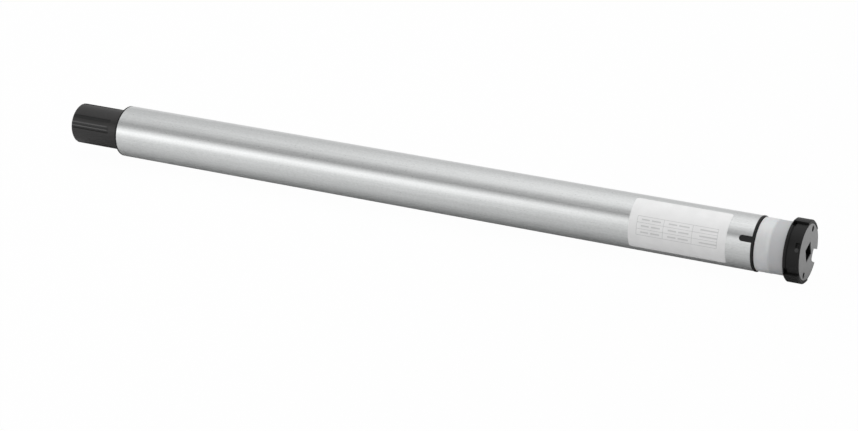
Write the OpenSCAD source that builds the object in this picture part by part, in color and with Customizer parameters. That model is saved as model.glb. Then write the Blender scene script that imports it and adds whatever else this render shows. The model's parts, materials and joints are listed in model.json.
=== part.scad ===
// Tubular motor for a roller blind, 35 mm class.
// The motor lies along X. Its origin is the centre of the head's front face, +X points out of
// that face and +Z is up. Every place along the motor is a distance s behind the head face.

/* [Tube] */
// Outer diameter of the motor tube
tube_d = 35; // [34:0.5:38]
// Wall of the motor tube
tube_wall = 1; // [0.8:0.1:1.2]
// Length of the motor tube
tube_len = 460.2; // [457:0.1:520]

/* [Head] */
// Diameter over the two lugs of the head
head_d = 40; // [39:0.5:46]
// Length of the head in front of the crown
head_w = 10.1; // [9.5:0.1:14]
// Turn of the head about the motor axis, from +Z towards +Y
head_turn = 27.5; // [0:0.5:45]
// Angle that each lug spans
lug_angle = 66; // [50:1:75]
// Depth of the waist between the lugs
waist_depth = 1.4; // [1:0.1:1.6]
// Width of the rim behind the waist
rim_w = 1.9; // [1.5:0.1:2.5]
// Diameter of the face plate
plate_d = 35.8; // [34:0.1:36]
// Thickness of the face plate
plate_t = 1.6; // [1:0.1:2]
// Pitch circle of the two bracket screw holes
bracket_pcd = 29.2; // [26:0.1:30]
// Diameter of the bracket screw holes
bracket_hole_d = 4; // [2.5:0.1:4.2]
// Width across the flats of the square socket
socket_w = 9.6; // [7:0.1:10]
// Wall of the round boss at the corners of the square socket
socket_wall = 1; // [0.8:0.1:1.5]
// Width of the cable notch
notch_w = 8.4; // [7.8:0.1:9.6]
// Distance of the notch's floor from the motor axis
notch_r = 9.8; // [9:0.1:10]
// Radius of the notch's inner corners
notch_corner_r = 2.4; // [0.5:0.1:3]
// Thickness of the head behind the notch
notch_back = 2.5; // [2:0.1:3.5]

/* [Crown] */
// Outer diameter of the crown ring
crown_d = 34; // [33:0.1:38]
// Length of the crown ring
crown_len = 19.1; // [18:0.1:28]
// Drop of the crown's front half below its outer diameter
crown_step = 0.15; // [0.1:0.05:0.3]
// Bore of the crown ring
crown_bore = 29.8; // [29.6:0.1:30.4]
// Teeth inside the crown ring
crown_teeth = 49; // [48:1:49]
// Teeth of the encoder pinion
pinion_teeth = 12; // [11:1:13]
// Diameter of the encoder pinion's spindle
spindle_d = 3; // [2.5:0.1:3.5]
// Diameter of the encoder magnet
magnet_d = 6.8; // [5:0.1:7]

/* [Collar] */
// Outer diameter of the collar between crown and tube
collar_d = 35.3; // [34.5:0.1:38]
// Width of the collar
collar_w = 1.6; // [1.4:0.1:3]
// Width of the key that locks the head in the tube
key_w = 3.75; // [3:0.05:5]
// Length of the key
key_len = 8; // [6:0.1:10]
// Length of the head's plug inside the tube
plug_len = 35; // [33:0.5:40]

/* [Electronics] */
// Width of the circuit board
board_w = 27; // [24:0.5:28]
// Thickness of the circuit board
board_t = 1.6; // [1:0.1:2]
// Depth of the board below the motor axis
board_drop = 3; // [2:0.1:4]
// Length of the carrier behind the head's plug
carrier_len = 96; // [95:0.5:100]
// Wall of the capacitor's cradle
cradle_skin = 2.3; // [2:0.1:4]
// Length of the run capacitor
capacitor_len = 75; // [60:1:78]
// Diameter of the insulated wires
wire_d = 1.5; // [1.2:0.1:1.7]

/* [Motor] */
// Length of the stator core
stator_len = 115; // [90:1:118]
// Share of the stator's diameter that its bore takes
bore_share = 0.55; // [0.52:0.005:0.58]
// Air gap between rotor and stator
air_gap = 0.3; // [0.25:0.05:0.5]
// Length of each end bell
bell_len = 16; // [15:0.5:18]
// Diameter of the rotor shaft
shaft_d = 5; // [4:0.1:5]
// Outer diameter of the rotor's ball bearings
bearing_d = 16; // [13:0.5:17]
// Width of the rotor's ball bearings
bearing_w = 5; // [4:0.5:6]

/* [Brake] */
// Length of the brake housing
brake_len = 28; // [27:0.5:30]
// Travel of the brake plate
brake_travel = 0.5; // [0.3:0.05:0.8]
// Thickness of the friction disc
disc_t = 2.5; // [2:0.1:3]
// Thickness of the sliding brake plate
armature_t = 4; // [3:0.1:4.5]
// Wire of the brake spring
spring_wire = 1; // [0.8:0.1:1.2]

/* [Gearbox] */
// Wall of the input stage's ring outside its teeth
input_ring_wall = 2.4; // [2.4:0.1:3]
// Sun teeth of the input stage
input_sun_teeth = 12; // [12:3:15]
// Ring teeth of the input stage
input_ring_teeth = 54; // [54:3:54]
// Wall of the main ring outside its teeth
main_ring_wall = 2.3; // [2.3:0.1:3]
// Sun teeth of the second and third stage
main_sun_teeth = 9; // [9:1:9]
// Ring teeth of the second and third stage
main_ring_teeth = 45; // [45:3:45]
// Face width of the first stage's planets
planet_1_w = 7; // [6:0.5:9]
// Face width of the second stage's planets
planet_2_w = 10; // [8:0.5:12]
// Face width of the third stage's planets
planet_3_w = 14.6; // [12:0.1:18]
// Diameter of the planets' pins
planet_pin_d = 3.2; // [2.6:0.1:3.6]

/* [Drive end] */
// Diameter of the drive spigot
spigot_d = 27.6; // [26:0.1:32]
// Length of the drive spigot
spigot_len = 38.2; // [34:0.1:45]
// Plain length of the spigot beside the tube
spigot_plain = 8; // [5:0.5:9]
// Depth of the grooves along the spigot
groove_depth = 0.9; // [0.4:0.1:1]
// Width of the grooves along the spigot
groove_w = 1.6; // [0.8:0.1:1.8]
// Times that the groove pattern repeats round the spigot
groove_sets = 4; // [3:1:5]
// Diameter of the gearbox end cap's flange
end_flange_d = 34.9; // [33.6:0.1:36]
// Thickness of the gearbox end cap's flange
end_flange_t = 1.5; // [0.8:0.1:2]
// Length of the gearbox end cap inside the tube
end_cap_len = 16; // [15:0.5:20]
// Diameter of the output shaft's journal
journal_d = 14; // [13:0.1:15]
// Diameter of the output shaft's end inside the spigot
shaft_end_d = 12; // [11:0.1:12.4]
// Width across the flats of the output shaft's end
shaft_flats = 10; // [9:0.1:10.4]

/* [Hidden] */
$fn = 96;

// Clearances, all measured on the radius or on one side
tube_fit = 0.1;      // pieces pushed into the tube
snug = 0.02;         // pieces pressed or clamped together
running = 0.05;      // shafts that turn in bushes, planets on pins
end_play = 0.25;     // turning pieces, along the axis
gear_slack = 0.04;   // thinning of each tooth flank
slit = 0.1;          // keys and sockets in their cut-outs
key_gap = 0.3;       // the brake plate round its keys and in its housing

// Gear teeth
pressure = 25;
tip_height = 0.8;
root_depth = 1.0;
flank_steps = 3;

// Places along the motor
tube_id = tube_d - 2 * tube_wall;
core_r = tube_id / 2 - tube_fit;
crown_s = head_w + end_play;
collar_s = crown_s + crown_len + end_play;
tube_s = collar_s + collar_w;
end_s = tube_s + tube_len;
plug_end = tube_s + plug_len;

// Head
fine_edge = 0.4;
lug_edge = 0.7;
waist_r = head_d / 2 - waist_depth;
rim_r = waist_r + 1;
plate_r = plate_d / 2;
boss_r = socket_w / sqrt(2) + socket_wall;
boss_end = head_w - 0.5;
window_len = 2.6;
window_s = 0.7;
window_w = 3;
window_angle = -86;
stud_r = 1.35;
stud_angle = -95.5;
corner_len = 2;
corner_angle = 14;
corner_depth = 1.2;
tab_w = 2;           // tab of the face plate that snaps into the window
tab_gap = 0.2;
tab_reach = 0.5;
head_screw_pcd = 21.8;
head_screw_r = 1.5;
head_screw_len = 12;
head_screw_sink = 0.1;
head_screw_angles = [40, 220];
countersink_r = 2.8;
neck_len = 6.2;
core_lap = 1;        // forms of the head's core in one another
gear_module = 0.6;
crown_pitch_r = crown_teeth * gear_module / 2;
neck_r = crown_pitch_r - tip_height * gear_module - 0.45;
relief_len = 0.8;
relief_lap = 0.2;
relief_r = crown_pitch_r + root_depth * gear_module + 0.2;
bearing_s = neck_len + relief_len + 0.1;
bearing_r = crown_bore / 2 - running;
plug_wall = 1.4;
ring_r = core_r - plug_wall - 0.1;
key_top_r = tube_d / 2 + 0.1;
solid_end = tube_s + key_len + 1.2;
tube_screw_angles = [50, 130];
tube_screw_r = 1.5;
tube_screw_len = 5.5;
tube_screw_head_r = 2.6;
screw_floor_r = tube_d / 2 - tube_screw_len - 0.3;

// Cable inlet in the notch
inlet_w = notch_w - 0.6;
inlet_low = notch_r + slit;
inlet_h = 3.4;
inlet_high = inlet_low + inlet_h;
inlet_wall = 0.8;
inlet_s = head_w - notch_back;
inlet_len = 14;
inlet_depth = inlet_len - 2.5;
inlet_pin_in = 4;
inlet_pin_s = inlet_s + inlet_pin_in;
inlet_pin_r = 0.5;
inlet_pin_pitch = 1.7;
inlet_pin_r_at = (inlet_low + inlet_high) / 2;

// Encoder
pinion_angle = -45;
pinion_pitch_r = pinion_teeth * gear_module / 2;
pinion_r_at = crown_pitch_r - pinion_pitch_r;
pinion_tip_r = pinion_pitch_r + tip_height * gear_module;
magnet_s = solid_end + 1.6;
magnet_len = 4.8;
sensor_gap = 0.6;
sensor_t = 0.9;
sensor_l = 4;
sensor_w = 3;
sensor_place = 2.2;  // of each sensor's middle from the spindle's line
sensor_board_t = 1.2;
sensor_board_s = magnet_s + magnet_len + sensor_gap + sensor_t;

// Drive end, counted back from the end of the tube
cap_s = end_s - end_cap_len;
tube_screw_in = 4.7;
tube_screw_places = [tube_s + tube_screw_in, cap_s + end_cap_len / 2];
journal_r = journal_d / 2;
bush_r = journal_r + 2;
bush_in = 4;
bush_len = end_cap_len - bush_in;
clip_s = cap_s + bush_len + 0.2;
clip_t = 1;
clip_r = journal_r + 1.3;
clip_groove_r = journal_r - 0.8;
clip_mouth = 6;
seal_s = clip_s + clip_t + 0.4;
spigot_s = end_s + end_flange_t + 0.3;
spigot_r = spigot_d / 2;
shaft_end_len = 27;
spigot_web_t = 4;
spigot_bore = shaft_end_len + 0.2;
screw_recess_r = 5.4;
spigot_hub_r = 8.4;
coring_r = spigot_r - groove_depth - 1.6;
coring_s = 8;
coring_rib_t = 1.6;
spigot_edge = 0.9;
spigot_screw_r = 2;
spigot_screw_in = 14;
washer_r = 5;
washer_t = 1;
pan_head_r = 3.8;
pan_head_h = 2.4;
cross_half = 2.2;
cross_w = 0.8;
cross_floor = 1.1;
pair_angle = -77;
pair_half = 5;
single_angle = -50;
single_w = 2.4;
single_depth = 0.3;
groove_len = spigot_len - spigot_plain;
spigot_seam = -28;   // turn of the spigot's seam, well clear of the grooves

// Gear stages, counted back from the end cap
web_3_t = 4;
web_2_t = 3;
web_1_t = 2.5;
input_module = (core_r - input_ring_wall) / (input_ring_teeth / 2 + root_depth);
main_module = (core_r - main_ring_wall) / (main_ring_teeth / 2 + root_depth);
web_r = main_ring_teeth * main_module / 2 - tip_height * main_module - 0.4;
input_web_r = input_ring_teeth * input_module / 2 - tip_height * input_module - 0.4;
web_3_s = cap_s - 0.2 - web_3_t;
planet_3_s = web_3_s - end_play - planet_3_w;
web_2_s = planet_3_s - end_play - web_2_t;
planet_2_s = web_2_s - end_play - planet_2_w;
web_1_s = planet_2_s - end_play - web_1_t;
planet_1_s = web_1_s - end_play - planet_1_w;
gear_s = planet_1_s - end_play;
ring_split = web_1_s + web_1_t - 0.2;
main_orbit = (main_ring_teeth + main_sun_teeth) * main_module / 4;
input_orbit = (input_ring_teeth + input_sun_teeth) * input_module / 4;
main_planet_teeth = (main_ring_teeth - main_sun_teeth) / 2;
input_planet_teeth = (input_ring_teeth - input_sun_teeth) / 2;
planet_pin_r = planet_pin_d / 2;

// Brake, counted back from the gearbox
shaft_r = shaft_d / 2;
brake_s = gear_s - brake_len;
brake_wall = 1.6;
brake_face_t = 3;
brake_bore_r = core_r - brake_wall;
brake_key_w = 3;
brake_key_in = 1.2;
shaft_bush_r = shaft_r + 2.2;
disc_s = gear_s - brake_face_t - 0.1 - disc_t;
armature_s = disc_s - 0.1 - armature_t;
yoke_end = armature_s - 0.1 - brake_travel;
yoke_r = brake_bore_r - 0.1;
yoke_wall = 1.7;
coil_t = 3.8;
coil_r = yoke_r - yoke_wall;
pole_r = coil_r - coil_t;
coil_depth = 12;
spring_r = 5.6;
spring_pocket_r = spring_r + 1.1;
spring_depth = 12;
spring_coils = 6;
spring_steps = 16;   // rings of points per coil
spring_sides = 6;

// Tray, capacitor and stator share what is left of the tube and give way together
cradle_wall = 2.4;
cradle_play = 0.4;
carrier_s = plug_end + 0.2;
lead_plug_len = 6;
wire_room = 8;       // shortest run of the motor's wires
front_bell_s = brake_s - bell_len;
inner_room = front_bell_s - bell_len - wire_room - lead_plug_len - 0.1 - 2 * cradle_wall
             - cradle_play - 0.2 - carrier_s;
inner_share = min(1, inner_room / (carrier_len + capacitor_len + stator_len));
carrier_run = carrier_len * inner_share;
capacitor_run = capacitor_len * inner_share;
stator_run = stator_len * inner_share;

// Motor, counted back from the brake
stator_s = front_bell_s - stator_run;
rear_bell_s = stator_s - bell_len;
stator_r = core_r;
bore_r = stator_r * bore_share;
rotor_r = bore_r - air_gap;
bell_face_t = 4;
bell_wall = 1.8;
winding_len = 9;
winding_out = core_r - bell_wall - 0.2;
slots = 12;
slot_mouth = 1.6;
slot_w = 2.6;
tooth_tip_t = 1.2;
yoke_back = 2.2;
cage_bars = 17;
cage_bar_r = 0.9;
cage_orbit = rotor_r - 1.3;
cage_ring_w = 3;
bearing_r_out = bearing_d / 2;
seat_r = bearing_r_out + 1.6;
winding_in = max(bore_r + 0.9, seat_r + 0.3);

// Electronics, counted from the head's plug
carrier_face_t = 2;
carrier_end = carrier_s + carrier_run;
carrier_wall = 1.3;
tray_t = 1.5;
board_s = carrier_s + carrier_face_t + 0.1;
board_len = carrier_run - 2 * carrier_face_t - 2;
pin_r = 0.5;
pin_y = 5;
board_low = -board_drop - board_t;
tray_low = board_low - 0.05;
relay_l = 15;
relay_w = 10;
relay_h = 11.5;
relay_gap = 2;
relay_share = 0.245; // part of the board's length in front of the relays
relay_s = board_s + board_len * relay_share;
relay_end = relay_s + 2 * relay_l + relay_gap;
can_r = 3.9;
can_h = 12;
can_in = 6;
can_pitch = 11;
header_l = 7;
header_w = 9;
header_in = 14;
header_s = board_s + board_len - header_in;
chip_l = 8;
chip_w = 16;
chip_h = 1.6;
chip_places = [board_s + board_len / 15, (relay_end + header_s - chip_l) / 2];
connector_w = 7.2;
connector_t = 3.2;
connector_len = 11;
connector_s = board_s - connector_len;
cradle_s = carrier_end + 0.2;
cradle_band = 8;     // closed band at each end of the open cradle
cradle_len = capacitor_run + 2 * cradle_wall + cradle_play;
cradle_bore_r = core_r - cradle_skin;
capacitor_r = cradle_bore_r - slit;
capacitor_s = cradle_s + cradle_wall + cradle_play / 2;
wire_r = wire_d / 2;
wire_orbit = core_r - wire_r - 0.15;
wire_angles = [-8, 0, 8];
wire_slot_w = 7;
lead_plug_w = 12;
lead_plug_h = 4;
lead_plug_s = cradle_s + cradle_len + 0.1;
far = 60;            // longer than any cut across the motor

// Local +Z runs back along the motor, local X is up and local Y stays Y
module along(s) {
    translate([-s, 0, 0]) rotate([0, -90, 0]) children();
}

// The same, turned with the head: its lugs lie on local X and its notch on local +Y
module head_at(s) {
    along(s) rotate([0, 0, head_turn]) children();
}

// A drilling or rod pointing outwards at an angle round the axis
module radial(s, angle, r) {
    along(s) rotate([0, 0, angle]) translate([r, 0, 0]) rotate([0, 90, 0]) children();
}

module tube(len, r_out, r_in) {
    difference() {
        cylinder(h = len, r = r_out);
        translate([0, 0, -1]) cylinder(h = len + 2, r = r_in);
    }
}

module drilled(len, r, z = 0) {
    translate([0, 0, z - 0.5]) cylinder(h = len + 1, r = r);
}

// A disc with a chamfer on both rims
module edged_disc(len, r, chamfer) {
    rotate_extrude()
        polygon([[0, 0], [r - chamfer, 0], [r, chamfer], [r, len - chamfer],
                 [r - chamfer, len], [0, len]]);
}

// A wedge from the axis, for cutting sectors
module wedge(len, mid, span) {
    linear_extrude(len)
        polygon([[0, 0], for (k = [0:4]) far * [cos(mid + span * (k / 4 - 0.5)),
                                                sin(mid + span * (k / 4 - 0.5))]]);
}

function polar(r, a) = r * [cos(a), sin(a)];
function involute(a) = tan(a) - a * PI / 180;

// Half angle of a tooth at radius r; slack thins the tooth at its pitch circle
function half_tooth(teeth, module_mm, r, slack) =
    let (pitch_r = teeth * module_mm / 2, base_r = pitch_r * cos(pressure))
    90 / teeth + (involute(pressure) - involute(acos(min(1, base_r / r)))) * 180 / PI
    - slack / pitch_r * 180 / PI;

function flank_radii(teeth, module_mm, tip, root) =
    let (pitch_r = teeth * module_mm / 2, base_r = pitch_r * cos(pressure),
         root_r = pitch_r - root * module_mm, tip_r = pitch_r + tip * module_mm,
         first_r = max(base_r, root_r))
    concat(root_r < base_r ? [root_r] : [],
           [for (k = [0:flank_steps]) first_r + (tip_r - first_r) * k / flank_steps]);

function tooth(teeth, module_mm, tip, root, slack) =
    let (radii = flank_radii(teeth, module_mm, tip, root), last = len(radii) - 1)
    concat([for (k = [0:last]) [radii[k], -half_tooth(teeth, module_mm, radii[k], slack)]],
           [for (k = [last:-1:0]) [radii[k], half_tooth(teeth, module_mm, radii[k], slack)]]);

// An involute gear with a tooth on local X, or the cutter of a ring gear with a gap there
module gear_outline(teeth, module_mm, tip = tip_height, root = root_depth, slack = gear_slack) {
    one = tooth(teeth, module_mm, tip, root, slack);
    polygon([for (k = [0:teeth - 1]) for (p = one) polar(p[0], p[1] + 360 * k / teeth)]);
}

module ring_gear_cut(teeth, module_mm, len) {
    linear_extrude(len)
        gear_outline(teeth, module_mm, tip = root_depth, root = tip_height, slack = -gear_slack);
}

// Head: lugs at both screw holes, waists between them and a rim behind
module head_body() {
    edged_disc(head_w, waist_r, fine_edge);
    translate([0, 0, head_w - rim_w]) edged_disc(rim_w, rim_r, fine_edge);
    intersection() {
        edged_disc(head_w, head_d / 2, lug_edge);
        union() {
            wedge(head_w, 0, lug_angle);
            wedge(head_w, 180, lug_angle);
        }
    }
}

// The notch from its floor outwards, with two round inner corners
module notch_cut(len, s) {
    side = notch_w / 2;
    r = notch_corner_r;
    translate([0, notch_r, s - 0.5]) linear_extrude(len + 0.5)
        polygon([[side, far], for (a = [0:-15:-90]) [side - r + r * cos(a), r + r * sin(a)],
                 for (a = [-90:-15:-180]) [-side + r + r * cos(a), r + r * sin(a)], [-side, far]]);
}

module bracket_holes(len, s) {
    for (side = [-1, 1])
        translate([side * bracket_pcd / 2, 0, s]) cylinder(h = len, d = bracket_hole_d, $fn = 32);
}

module square_socket(len) {
    rotate([0, 0, 45]) translate([-socket_w / 2, -socket_w / 2, -0.5])
        cube([socket_w, socket_w, len + 1]);
}

module face_plate() color("darkgray") head_at(0) {
    difference() {
        union() {
            translate([0, 0, plate_t]) mirror([0, 0, 1]) edged_disc(plate_t, plate_r, 0.3);
            cylinder(h = boss_end, r = boss_r);
            rotate([0, 0, window_angle]) translate([plate_r - 1, -tab_w / 2, window_s + tab_gap])
                cube([1 + tab_reach, tab_w, plate_t - window_s - tab_gap]);
        }
        square_socket(boss_end);
        bracket_holes(plate_t + 1, -0.5);
        notch_cut(far, 0);
    }
}

// Moulded pocket beside a lug, in front of the rim
module corner_pocket(edge, side) {
    rotate([0, 0, edge + side * corner_angle / 2])
        translate([0, 0, head_w - rim_w - corner_len / 2]) difference() {
            wedge(corner_len, 0, corner_angle);
            translate([0, 0, -1]) cylinder(h = corner_len + 2, r = waist_r - corner_depth);
        }
}

module head_flange() color([0.11, 0.11, 0.12]) head_at(0) {
    difference() {
        head_body();
        translate([0, 0, -1]) cylinder(h = plate_t + 1, r = plate_r + slit);
        drilled(head_w, boss_r + snug);
        bracket_holes(head_w - 1.2, 0);
        notch_cut(inlet_s, 0);
        inlet_hole(inlet_s - 0.5, notch_back + 1);
        for (a = head_screw_angles) rotate([0, 0, a])
            translate([head_screw_pcd / 2, 0, plate_t + head_screw_sink])
                countersunk_hole(countersink_r, head_screw_r, head_w);
        rotate([0, 0, window_angle])
            translate([plate_r - 0.5, -window_w / 2, window_s])
                cube([waist_r, window_w, window_len]);
        for (side = [-1, 1]) {
            corner_pocket(side * lug_angle / 2, side);
            corner_pocket(180 + side * lug_angle / 2, side);
        }
    }
    rotate([0, 0, stud_angle]) translate([waist_r - 0.6, 0, window_s + stud_r])
        rotate([0, 90, 0]) cylinder(h = 0.9, r = stud_r, $fn = 32);
}

// Rectangular hole that the inlet socket is pushed into
module inlet_hole(s, len) {
    translate([-inlet_w / 2 - slit, inlet_low - slit, s])
        cube([inlet_w + 2 * slit, inlet_h + 2 * slit, len]);
}

module encoder_hole(s, len, r) {
    rotate([0, 0, pinion_angle]) translate([pinion_r_at, 0, s]) cylinder(h = len, r = r);
}

// A bar across the wall at the key's place, with straight sides and a round inner end
module key_bar(width, start, len) {
    round_s = len - width / 2;
    rotate([0, 0, -90]) rotate([0, 90, 0]) mirror([1, 0, 0]) linear_extrude(far)
        polygon([[start, -width / 2],
                 for (a = [-90:10:90]) [round_s + width / 2 * cos(a), width / 2 * sin(a)],
                 [start, width / 2]]);
}

module head_core() color([0.13, 0.13, 0.14]) head_at(0) {
    difference() {
        union() {
            translate([0, 0, head_w]) cylinder(h = neck_len + core_lap, r = neck_r);
            translate([0, 0, head_w + bearing_s])
                cylinder(h = collar_s - head_w - bearing_s, r = bearing_r);
            translate([0, 0, collar_s]) edged_disc(collar_w, collar_d / 2, 0.3);
            translate([0, 0, collar_s + collar_w / 2])
                cylinder(h = plug_end - collar_s - collar_w / 2, r = core_r);
            intersection() {
                translate([0, 0, collar_s]) tube(key_len + far, key_top_r, core_r - core_lap / 2);
                translate([0, 0, tube_s]) key_bar(key_w, -collar_w / 2, key_len);
            }
        }
        translate([0, 0, solid_end]) cylinder(h = plug_len, r = core_r - plug_wall);
        encoder_hole(head_w - 0.5, neck_len + 0.5 + 0.3, pinion_tip_r + 0.3);
        encoder_hole(head_w, solid_end, spindle_d / 2 + running);
        inlet_hole(head_w - 0.5, solid_end - head_w + 1);
        for (a = head_screw_angles) rotate([0, 0, a])
            translate([head_screw_pcd / 2, 0, head_w - 0.5])
                cylinder(h = head_screw_len, r = head_screw_r + snug);
        for (a = tube_screw_angles) rotate([0, 0, a])
            translate([screw_floor_r, 0, tube_screw_places[0]]) rotate([0, 90, 0])
                cylinder(h = far, r = tube_screw_r + snug, $fn = 32);
    }
}

// A countersunk head and shank in one turned profile, its head on z = 0 and its shank along +Z
module countersunk(head_r, shank_r, len) {
    rotate_extrude($fn = 32)
        polygon([[0, 0], [head_r, 0], [shank_r, head_r - shank_r], [shank_r, len], [0, len]]);
}

// The hole that takes it, open above z = 0
module countersunk_hole(head_r, shank_r, len) {
    rotate_extrude($fn = 32)
        polygon([[0, -1], [head_r + slit, -1], [head_r + slit, 0],
                 [shank_r + slit, head_r - shank_r], [shank_r + slit, len], [0, len]]);
}

module countersunk_screw(head_r, shank_r, len) {
    difference() {
        countersunk(head_r, shank_r, len);
        for (a = [0, 90]) rotate([0, 0, a])
            translate([-head_r * 0.6, -0.3, -0.5]) cube([head_r * 1.2, 0.6, 1.3]);
    }
}

module head_screws() color("silver") head_at(plate_t + head_screw_sink) {
    for (a = head_screw_angles) rotate([0, 0, a]) translate([head_screw_pcd / 2, 0, 0])
        countersunk_screw(countersink_r, head_screw_r, head_w - plate_t + head_screw_len - 1.5);
}

// Four screws through the tube: two into the head's plug, two into the gearbox end cap
module tube_screws() color("silver") {
    for (s = tube_screw_places, a = tube_screw_angles)
        radial(s, head_turn + a, tube_d / 2 - 0.05) mirror([0, 0, 1])
            countersunk_screw(tube_screw_head_r, tube_screw_r, tube_screw_len);
}

// Turned so that no seam of the hole runs along the tube
module tube_screw_hole(s, angle) {
    radial(s, angle, tube_d / 2) mirror([0, 0, 1]) rotate([0, 0, 45])
        countersunk_hole(tube_screw_head_r, tube_screw_r, tube_wall + 2);
}

module inlet_socket() color("ivory") head_at(inlet_s) {
    difference() {
        translate([-inlet_w / 2, inlet_low, 0]) cube([inlet_w, inlet_h, inlet_len]);
        translate([-inlet_w / 2 + inlet_wall, inlet_low + inlet_wall, -0.5])
            cube([inlet_w - 2 * inlet_wall, inlet_h - 2 * inlet_wall, inlet_depth]);
        for (k = [-1.5:1:1.5]) translate([k * inlet_pin_pitch, inlet_pin_r_at, 0])
            drilled(inlet_len, inlet_pin_r + snug, 0);
    }
}

module inlet_pins() color("gold") head_at(inlet_pin_s) {
    for (k = [-1.5:1:1.5]) translate([k * inlet_pin_pitch, inlet_pin_r_at, 0])
        cylinder(h = inlet_len, r = inlet_pin_r, $fn = 24);
}

module crown_ring() color([0.86, 0.87, 0.88]) head_at(crown_s) {
    difference() {
        union() {
            edged_disc(crown_len, crown_d / 2 - crown_step, 0.4);
            translate([0, 0, crown_len / 2]) edged_disc(crown_len / 2, crown_d / 2, 0.4);
        }
        translate([0, 0, -0.5]) rotate([0, 0, pinion_angle])
            ring_gear_cut(crown_teeth, gear_module, neck_len + 0.5);
        translate([0, 0, neck_len - relief_lap]) cylinder(h = relief_len + relief_lap, r = relief_r);
        drilled(crown_len, crown_bore / 2, neck_len + relief_len);
    }
}

module encoder_pinion() color("white") head_at(head_w) {
    rotate([0, 0, pinion_angle]) translate([pinion_r_at, 0, end_play]) {
        linear_extrude(neck_len - 0.2) gear_outline(pinion_teeth, gear_module);
        cylinder(h = magnet_s + magnet_len - head_w - end_play, d = spindle_d);
    }
}

module encoder_magnet() color("dimgray") head_at(magnet_s) {
    rotate([0, 0, pinion_angle]) translate([pinion_r_at, 0, 0])
        tube(magnet_len, magnet_d / 2, spindle_d / 2 + snug);
}

module sensor_board() color("darkgreen") head_at(sensor_board_s) {
    difference() {
        cylinder(h = sensor_board_t, r = ring_r);
        inlet_hole(-1, sensor_board_t + 2);
    }
    for (k = [-1, 1]) rotate([0, 0, pinion_angle])
        translate([pinion_r_at - sensor_l / 2, k * sensor_place - sensor_w / 2, -sensor_t])
            cube([sensor_l, sensor_w, sensor_t]);
}

// Tray for the board, with a ring that plugs into the head and a rear wall
module board_carrier() color([0.2, 0.2, 0.22]) along(0) {
    ring_s = sensor_board_s + sensor_board_t + 0.05;
    difference() {
        union() {
            translate([0, 0, ring_s]) cylinder(h = carrier_s + 1 - ring_s, r = ring_r);
            translate([0, 0, carrier_s]) cylinder(h = carrier_run, r = core_r);
        }
        translate([0, 0, ring_s - 1])
            cylinder(h = board_s - ring_s + 0.9, r = ring_r - carrier_wall);
        difference() {
            translate([0, 0, carrier_s + carrier_face_t])
                cylinder(h = carrier_run - 2 * carrier_face_t, r = core_r - carrier_wall);
            translate([tray_low - tray_t, -far, carrier_s]) cube([tray_t, 2 * far, carrier_run]);
        }
        translate([tray_low, -far, carrier_s + carrier_face_t])
            cube([far, 2 * far, carrier_run - 2 * carrier_face_t]);
        wire_slot(carrier_end - carrier_face_t - 1, carrier_face_t + 2);
        capacitor_pins(carrier_end - carrier_face_t - 1, carrier_face_t + 2, pin_r + slit);
    }
}

// Slot at the top of a wall, through which the motor's wires pass
module wire_slot(s, len) {
    translate([wire_orbit - wire_r - 0.4, -wire_slot_w / 2, s]) cube([far, wire_slot_w, len]);
}

module capacitor_pins(s, len, r) {
    for (side = [-1, 1]) translate([board_low + board_t / 2, side * pin_y, s])
        cylinder(h = len, r = r, $fn = 24);
}

module control_board() color("green") along(board_s) {
    translate([board_low, -board_w / 2, 0]) cube([board_t, board_w, board_len]);
}

module on_board(s, y) {
    along(s) translate([board_low + board_t, y, 0]) children();
}

module relays() color("royalblue") {
    for (k = [0, 1]) on_board(relay_s + k * (relay_l + relay_gap), -relay_w - 0.5)
        cube([relay_h, relay_w, relay_l]);
}

module board_capacitors() color("darkslateblue") {
    for (k = [0:2]) on_board(relay_s + can_in + k * can_pitch, relay_w / 2 + 1)
        rotate([0, 90, 0]) cylinder(h = can_h, r = can_r);
}

module board_chips() color([0.1, 0.1, 0.1]) {
    for (place = chip_places) on_board(place, -chip_w / 2)
        cube([chip_h, chip_w, chip_l]);
}

// Upright header on the board that the motor's wires plug into
module lead_header() color("white") intersection() {
    on_board(header_s, -header_w / 2) cube([far, header_w, header_l]);
    along(header_s) cylinder(h = header_l, r = core_r - 0.1);
}

// Connector between the inlet's wires and the front edge of the board
module edge_connector() color("limegreen") head_at(connector_s) {
    translate([-connector_w / 2, inlet_pin_r_at - connector_t / 2 - 0.3, 0])
        cube([connector_w, connector_t, board_s - connector_s - 0.1]);
}

// Wires from the inlet's pins to the edge connector, one behind each pin
module inlet_wires() color("saddlebrown") head_at(inlet_pin_s + inlet_len + 0.1) {
    for (k = [-1.5:1:1.5]) translate([k * inlet_pin_pitch, inlet_pin_r_at, 0])
        cylinder(h = connector_s - inlet_pin_s - inlet_len - 0.2, r = wire_r, $fn = 24);
}

module capacitor_cradle() color([0.2, 0.2, 0.22]) along(cradle_s) {
    difference() {
        cylinder(h = cradle_len, r = core_r);
        translate([0, 0, cradle_wall]) cylinder(h = cradle_len - 2 * cradle_wall, r = cradle_bore_r);
        translate([0, -far, cradle_wall + cradle_band])
            cube([far, 2 * far, cradle_len - 2 * (cradle_wall + cradle_band)]);
        wire_slot(-1, cradle_len + 2);
        capacitor_pins(-1, cradle_wall + 2, pin_r + slit);
    }
}

// The capacitor, with two pins that reach to the rear edge of the board
module run_capacitor() color("whitesmoke") along(0) {
    pins_s = board_s + board_len + 0.1;
    translate([0, 0, capacitor_s]) edged_disc(capacitor_run, capacitor_r, 1.2);
    capacitor_pins(pins_s, capacitor_s + 1 - pins_s, pin_r);
}

module wire_run(s, len) {
    for (a = wire_angles) along(s) rotate([0, 0, a]) translate([wire_orbit, 0, 0])
        cylinder(h = len, r = wire_r, $fn = 24);
}

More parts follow.
